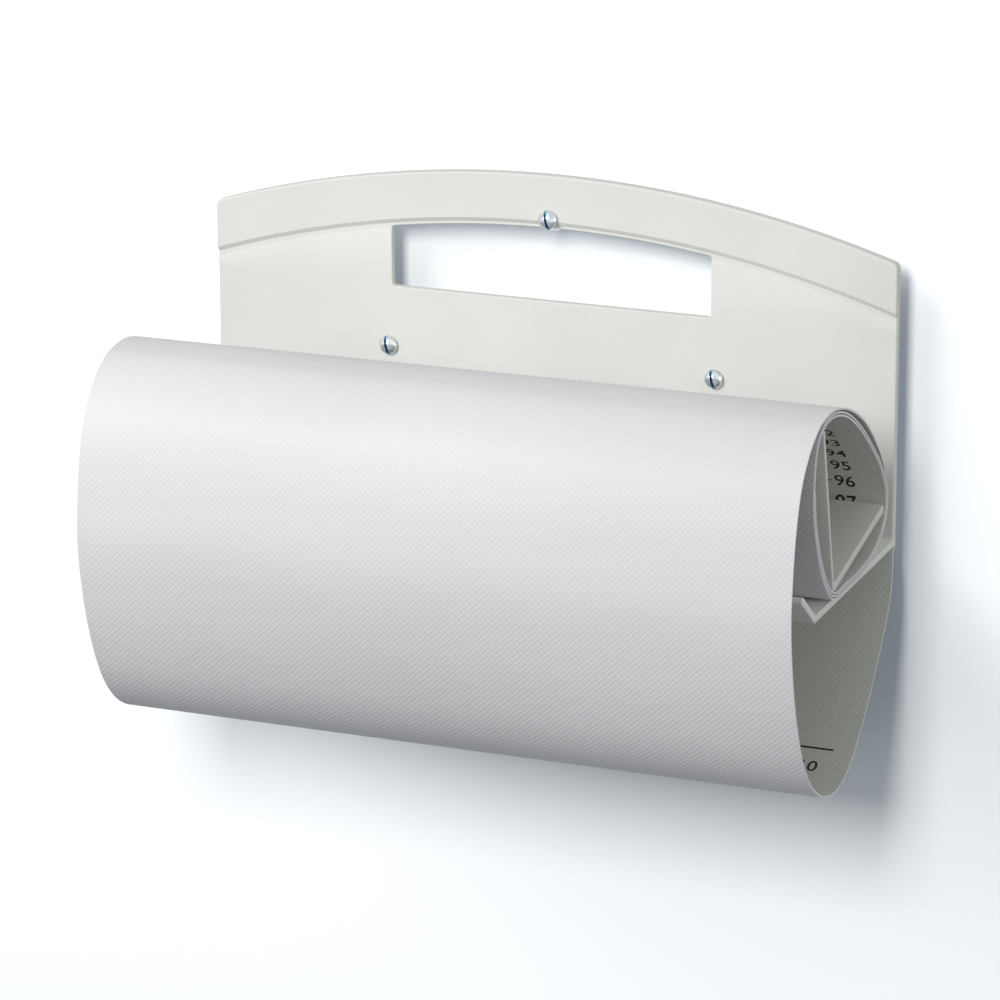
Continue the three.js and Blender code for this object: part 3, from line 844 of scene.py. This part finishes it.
def plateSlab():
    side, edge, rim = plate["holeWidth"] / 2, plate["edgeRadius"], plate["holeEdge"]
    columns, rows = plateColumns(), plateRows()

    def height(x, kind, value):
        if kind == "level":
            return value
        if kind == "sill":
            return holeEdge(min(abs(x), side), False) - value
        if kind == "top":
            return topOfPlate(x) - value
        if kind == "crown" and abs(x) <= side and value < plate["upperCorner"]:
            return holeEdge(x, True) + value
        return archCentre + math.sqrt((bandRadius + value) ** 2 - x ** 2)

    def front(x, z):
        depth = grooveDepth(x, z) + cornerDrop(edgeDistance(x, z), edge)
        out = max(abs(x) - side, 0.0)
        near = min(abs(x), side)
        gap = max(holeEdge(near, False) - z, z - holeEdge(near, True), 0.0)
        return depth + cornerDrop(math.hypot(out, gap), rim)

    bm = bmesh.new()
    fronts, backs = [], []
    for x in columns:
        heights = [height(x, *row) for row in rows]
        for k in range(1, len(heights)):
            heights[k] = max(heights[k], heights[k - 1] + plate["leastRow"])
        fronts.append([bm.verts.new(toFrame(x, front(x, z), z)) for z in heights])
        backs.append([bm.verts.new(toFrame(x, plate["thickness"], z)) for z in heights])
    holeRows = range(rows.index(("sill", 0.0)), rows.index(("crown", 0.0)))
    overHole = [i for i in range(len(columns) - 1)
                if max(abs(columns[i]), abs(columns[i + 1])) <= side + touch]
    cells = {(i, k) for i in range(len(columns) - 1) for k in range(len(rows) - 1)}
    cells -= {(i, k) for i in overHole for k in holeRows}
    sides = (((-1, 0), ((0, 0), (0, 1))), ((1, 0), ((1, 0), (1, 1))),
             ((0, -1), ((0, 0), (1, 0))), ((0, 1), ((0, 1), (1, 1))))
    for i, k in cells:
        for grid in (fronts, backs):
            bm.faces.new((grid[i][k], grid[i + 1][k], grid[i + 1][k + 1], grid[i][k + 1]))
        for (di, dk), ((ai, ak), (bi, bk)) in sides:
            if (i + di, k + dk) not in cells:
                bm.faces.new((fronts[i + ai][k + ak], fronts[i + bi][k + bk],
                              backs[i + bi][k + bk], backs[i + ai][k + ak]))
    bmesh.ops.delete(bm, geom=[v for v in bm.verts if not v.link_faces], context="VERTS")
    return objectFrom("headPlate", bm)


def flangeBar():  # flange and lip as one bent profile, the lip with a round end
    thick, lean, bend = plate["flangeThickness"], plate["lipAngle"], plate["bendRadius"]
    depth, half = plate["flangeDepth"], plate["halfWidth"]
    out = (-math.cos(lean), math.sin(lean))
    up = (math.sin(lean), math.cos(lean))
    tip = [-depth * (1 - k) + (plate["lipLength"] - thick / 2) * out[k] + thick / 2 * up[k]
           for k in (0, 1)]
    start = math.atan2(-up[1], -up[0])
    inside = plate["thickness"] / 2
    lipEnd = arc(tip, thick / 2, start, start - math.pi, curveSteps["lipEnd"])
    innerBend = arc((-bend, thick + bend), bend, -math.pi / 2, 0, curveSteps["corner"])
    profile = [(inside, 0.0), (-depth, 0.0), *lipEnd, (-depth + thick * math.tan(lean / 2), thick),
               *innerBend, (inside, thick + bend)]
    bar = drawnOut("flangeBar", profile, (-half, half))
    addBevel(bar, plate["cutEdge"], segments=2, degrees=60)
    return bakeModifiers(bar)


def makePlate():
    through = (-plate["thickness"], 2 * plate["thickness"])
    rounds = [circle((x, z), sleeveHole, curveSteps["sleeveHole"]) for x, z, _ in screwPlaces]
    cuts = [drawnOut("sleeveHole", outline, through, 1) for outline in rounds]
    obj = combined(plateSlab(), [(flangeBar(), "UNION"), *[(cut, "DIFFERENCE") for cut in cuts]])
    smoothByAngle(obj, degrees=32)
    setMaterials(obj, "platePlastic")
    return obj


plateObject = makePlate()
print("head plate ready", len(plateObject.data.polygons))


# Binding screws and posts: one template of each, set on three points by Geometry Nodes
def turned(name, profile):  # a profile of radius and depth, turned about Y
    bm = bmesh.new()
    steps = curveSteps["turned"]
    rings = []
    for radius, depth in profile:
        if radius == 0:
            rings.append([bm.verts.new((0, depth * mm, 0))] * steps)
            continue
        ring = circle((0, 0), radius * mm, steps)
        rings.append([bm.verts.new((x, depth * mm, z)) for x, z in ring])
    for a, b in zip(rings, rings[1:]):
        for i in range(steps):
            j = (i + 1) % steps
            corners = list(dict.fromkeys((a[i], a[j], b[j], b[i])))
            if len(corners) > 2:
                bm.faces.new(corners)
    return objectFrom(name, bm)


def screwTemplate():
    rim, low, dome = fastener["headDiameter"] / 2, fastener["rim"], fastener["dome"]
    shank, ease = fastener["shankDiameter"] / 2, fastener["ease"]
    rest = fastener["underSlot"]
    ball = (rim ** 2 + dome ** 2) / (2 * dome)
    ballDepth = ball - dome - low
    crown = arc((0, ballDepth), ball, -math.pi / 2, math.asin(rim / ball) - math.pi / 2,
                curveSteps["dome"])
    profile = [(0, crown[0][1]), *crown[1:-1], (rim - 1.2 * ease, -low - 0.8 * ease),
               (rim, -low + ease), (rim, -ease), (rim - ease, 0), (shank, 0),
               (shank, fastener["shankLength"]), (0, fastener["shankLength"])]
    half, top = fastener["slotWidth"] / 2, -low - dome
    slot = bmesh.new()
    boxInto(slot, Vector((-half, top - 1, -rim - 1)) * mm,
            Vector((half, top + fastener["slotDepth"], rim + 1)) * mm)
    obj = combined(turned("screwTemplate", profile),
                   [(objectFrom("slotCut", slot), "DIFFERENCE")])
    addBevel(obj, fastener["slotEdge"], segments=2, degrees=50)
    obj = bakeModifiers(obj)
    mesh = obj.data
    # the faces inside the slot get the painted slot shade
    inSlot = mesh.attributes.new("inSlot", "BOOLEAN", "FACE")
    for face in mesh.polygons:  # the slot's faces lie below the dome's own surface
        x, depth, z = face.center / mm
        surface = ballDepth - math.sqrt(max(ball ** 2 - x ** 2 - z ** 2, 0))
        inSlot.data[face.index].value = (abs(x) < half + fastener["slotSlack"]
                                         and surface + 2 * fastener["slotEdge"] < depth < -rest)
    smoothByAngle(obj, degrees=30)
    mesh.transform(Matrix.Rotation(-fastener["slotLean"], 4, "Y"))
    return obj


def postTemplate():
    head, sleeve = fastener["postHead"] / 2, fastener["sleeveDiameter"] / 2
    thick, chamfer = fastener["postThickness"], fastener["postChamfer"]
    bore = fastener["shankDiameter"] / 2 + fastener["gap"]
    end, ease = -thick - fastener["sleeveLength"], fastener["sleeveEase"]
    profile = [(0, 0), (head - chamfer, 0), (head, -chamfer), (head, -thick), (sleeve, -thick),
               (sleeve, end + ease), (sleeve - ease, end), (bore, end), (bore, -thick / 2),
               (0, -thick / 2)]
    obj = turned("postTemplate", profile)
    obj.data.attributes.new("inSlot", "BOOLEAN", "FACE")
    smoothByAngle(obj, degrees=30)
    return obj


def onPointsTree():  # puts a template on each point and gives it the metal, with painted shade on the slot faces
    group, given, result = newTree("templateOnPoints", [
        ("Template", "Object"), ("Scale", "Float", 1.0),
        ("Metal", "Material"), ("Slot", "Material")])
    template = linked(group, "GeometryNodeObjectInfo", {"Object": given["Template"]},
                      transform_space="ORIGINAL")
    placed = linked(group, "GeometryNodeInstanceOnPoints", {
        "Points": given["Geometry"], "Instance": template["Geometry"], "Scale": given["Scale"]})
    inSlot = linked(group, "GeometryNodeInputNamedAttribute", {"Name": "inSlot"},
                    data_type="BOOLEAN")
    dark = linked(group, "GeometryNodeSetMaterial", {
        "Geometry": finished(group, placed["Instances"], given["Metal"]),
        "Selection": inSlot["Attribute"], "Material": given["Slot"]})
    group.links.new(dark["Geometry"], result["Geometry"])
    return group


def placeTemplates(name, template, spots):
    obj = grown(name, [toFrame(*spot) for spot in spots], onPoints, {
        "Template": template, "Metal": materials["brightZinc"], "Slot": materials["slotMetal"]})
    bpy.data.objects.remove(template)
    return obj


onPoints = onPointsTree()
screwObject = placeTemplates("bindingScrews", screwTemplate(), [
    (x, -proud - fastener["gap"], z) for x, z, proud in screwPlaces])
postObject = placeTemplates("bindingPosts", postTemplate(), [
    (x, fastener["wallFace"], z) for x, z, _ in screwPlaces])
print("fasteners ready", len(screwObject.data.polygons), len(postObject.data.polygons))


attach(screwObject, "head")
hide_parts(*[f"binding_screw_{place}" for place in ("top", "left", "right")])
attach(postObject, "head")
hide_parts(*[f"binding_post_{place}" for place in ("top", "left", "right")])
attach(plateObject, "head")
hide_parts("head_plate")
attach(matObject, "head")
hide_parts("measuring_mat")
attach(scaleObject, "head")
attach(footObject, "foot")
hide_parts("foot_piece")


# Stage: a white wall behind the piece, a pale floor below, and soft light from the upper left.
# The wall and floor have lamps of their own, which don't light the object.
stage = {
    "wallGap": 0.014, "wallSize": 3.0, "floor": -1.1, "floorHalf": 3.0, "roughness": 0.9,
    "wallColour": (0.78, 0.87, 0.95), "floorColour": (0.72, 0.8, 0.88), "floorBounce": 0.15,
    "world": 0.41, "worldColour": (0.99, 1.0, 1.0), "aim": (0, -0.06, -0.08),
    # each lamp's azimuth and elevation in degrees, then distance, size, power and colour
    "keyLamp": ((24.0, 28.0), 1.5, (0.6, 0.6), 14.4, (1.0, 0.99, 0.98)),
    "sideLamp": ((-84.0, 6.0), 1.6, (0.35, 0.5), 3.1, (0.97, 0.99, 1.0)),
    "wallLamp": ((-5.0, 27.0), 2.4, (0.5, 0.8), 48.0, (1.0, 0.9, 0.82)),
    "edgeLamp": ((52.0, 40.0), 2.4, (2.2, 1.2), 60.0, (1.0, 0.9, 0.82)),
}


def stagePlane(name, corners, material):
    mesh = bpy.data.meshes.new(name)
    mesh.from_pydata(corners, [], [(0, 1, 2, 3)])
    mesh.materials.append(material)
    obj = newObject(name, mesh)
    obj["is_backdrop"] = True
    return obj


def mixInto(tree, output, factor, first, second):
    mix = linked(tree, "ShaderNodeMixShader", {0: factor, 1: first, 2: second})
    tree.links.new(mix["Shader"], tree.nodes[output].inputs["Surface"])


def seenDirectly(tree):  # 1 for what the camera sees itself, in gloss or through glass
    rays = linked(tree, "ShaderNodeLightPath")
    seen = mathNode(tree, "MAXIMUM", rays["Is Camera Ray"], rays["Is Glossy Ray"])
    return mathNode(tree, "MAXIMUM", seen, rays["Is Transmission Ray"])


def stageMaterial(name, colour, bounce=None):  # clear from behind, and to light without a bounce
    material, tree, shader = newMaterial(name)
    shader["Base Color"].default_value = (*colour, 1)
    shader["Roughness"].default_value = stage["roughness"]
    shader["Specular IOR Level"].default_value = 0.0
    clearFor = linked(tree, "ShaderNodeNewGeometry")["Backfacing"]
    if bounce is None:  # the world's light reaches the piece's own back
        rays = linked(tree, "ShaderNodeLightPath")
        unseen = mathNode(tree, "SUBTRACT", 1.0, rays["Is Camera Ray"])
        clearFor = mathNode(tree, "MAXIMUM", unseen, clearFor)
    else:
        dimmed = (*[bounce * c for c in colour], 1)
        shown = colourMix(tree, seenDirectly(tree), dimmed, (*colour, 1))
        tree.links.new(shown, shader["Base Color"])
    solid = tree.nodes["Principled BSDF"].outputs["BSDF"]
    clear = linked(tree, "ShaderNodeBsdfTransparent")["BSDF"]
    mixInto(tree, "Material Output", clearFor, solid, clear)
    return material


def areaLamp(name, receivers, blockers=()):
    angles, distance, size, power, colour = stage[name]
    data = bpy.data.lights.new(name, "AREA")
    data.shape = "RECTANGLE"
    data.size, data.size_y = size
    data.energy = power
    data.color = colour
    lamp = newObject(name, data)
    aside, above = [math.radians(angle) for angle in angles]
    away = Vector((-math.sin(aside) * math.cos(above), -math.cos(aside) * math.cos(above),
                   math.sin(above)))
    lamp.location = Vector(stage["aim"]) + distance * away
    lamp.rotation_euler = (-away).to_track_quat("-Z", "Y").to_euler()
    for kind, objects in (("receiver", receivers), ("blocker", blockers)):
        if objects:
            group = bpy.data.collections.new(f"{name}{kind.title()}s")
            setattr(lamp.light_linking, kind + "_collection", group)
            for obj in objects:
                group.objects.link(obj)


def makeWorld():
    world = bpy.data.worlds.new("studio")
    scene.world = world
    world.use_nodes = True
    tree = world.node_tree
    plain = tree.nodes["Background"]
    plain.inputs["Color"].default_value = (*stage["worldColour"], 1)
    plain.inputs["Strength"].default_value = stage["world"]
    white = linked(tree, "ShaderNodeBackground", {"Color": (1, 1, 1, 1)})["Background"]
    mixInto(tree, "World Output", seenDirectly(tree), plain.outputs["Background"], white)


def makeStage():
    half, gap, floor = stage["wallSize"] / 2, stage["wallGap"], stage["floor"]
    far = stage["floorHalf"]
    wall = stagePlane(
        "wall", [(-half, gap, floor), (half, gap, floor), (half, gap, half), (-half, gap, half)],
        stageMaterial("whiteWall", stage["wallColour"]))
    ground = stagePlane(
        "floor", [(-far, -far, floor), (far, -far, floor), (far, far, floor), (-far, far, floor)],
        stageMaterial("paleFloor", stage["floorColour"], stage["floorBounce"]))
    makeWorld()
    areaLamp("keyLamp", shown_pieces())
    areaLamp("sideLamp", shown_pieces())
    areaLamp("wallLamp", [wall, ground])
    areaLamp("edgeLamp", [wall, ground], [plateObject])


makeStage()
scene.view_settings.view_transform = "Standard"
print("stage ready")
